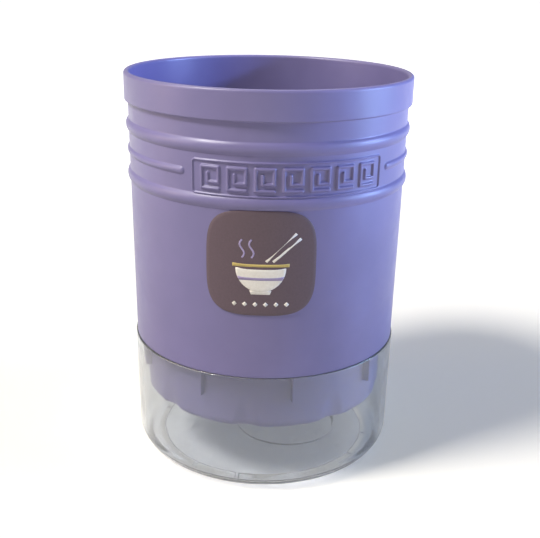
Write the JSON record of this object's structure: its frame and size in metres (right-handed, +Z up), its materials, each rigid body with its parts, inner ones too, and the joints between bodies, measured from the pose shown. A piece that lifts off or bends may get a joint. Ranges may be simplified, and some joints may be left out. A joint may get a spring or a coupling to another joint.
{
  "type": "chopstick holder",
  "caption": "Round ribbed chopstick holder with a fluted drain floor, a lift-out divider and a clear drip base.",
  "frame": {"origin": "centre of the ring that the base stands on, at table height", "axes": "+Z up along the holder's axis; -Y is the front, where the plaque and the label are; +X to the right seen from the front"},
  "size_m": [0.119, 0.119, 0.166],
  "materials": {
    "barrel": "moulded polypropylene, satin",
    "clear_base": "moulded clear styrene plastic, polished",
    "divider": "moulded polypropylene, satin",
    "label": "printed film, matt"
  },
  "bodies": {
    "drip_base": {"drip_base": "clear_base"},
    "barrel": {"barrel": "barrel", "label": "label"},
    "divider": {"divider": "divider"}
  },
  "joints": [
    {"name": "barrel_lift", "type": "slide", "parent": "drip_base", "child": "barrel", "axis": [0, 0, 1], "range_m": [0, 0.06]},
    {"name": "divider_lift", "type": "slide", "parent": "barrel", "child": "divider", "axis": [0, 0, 1], "range_m": [0, 0.145]}
  ]
}
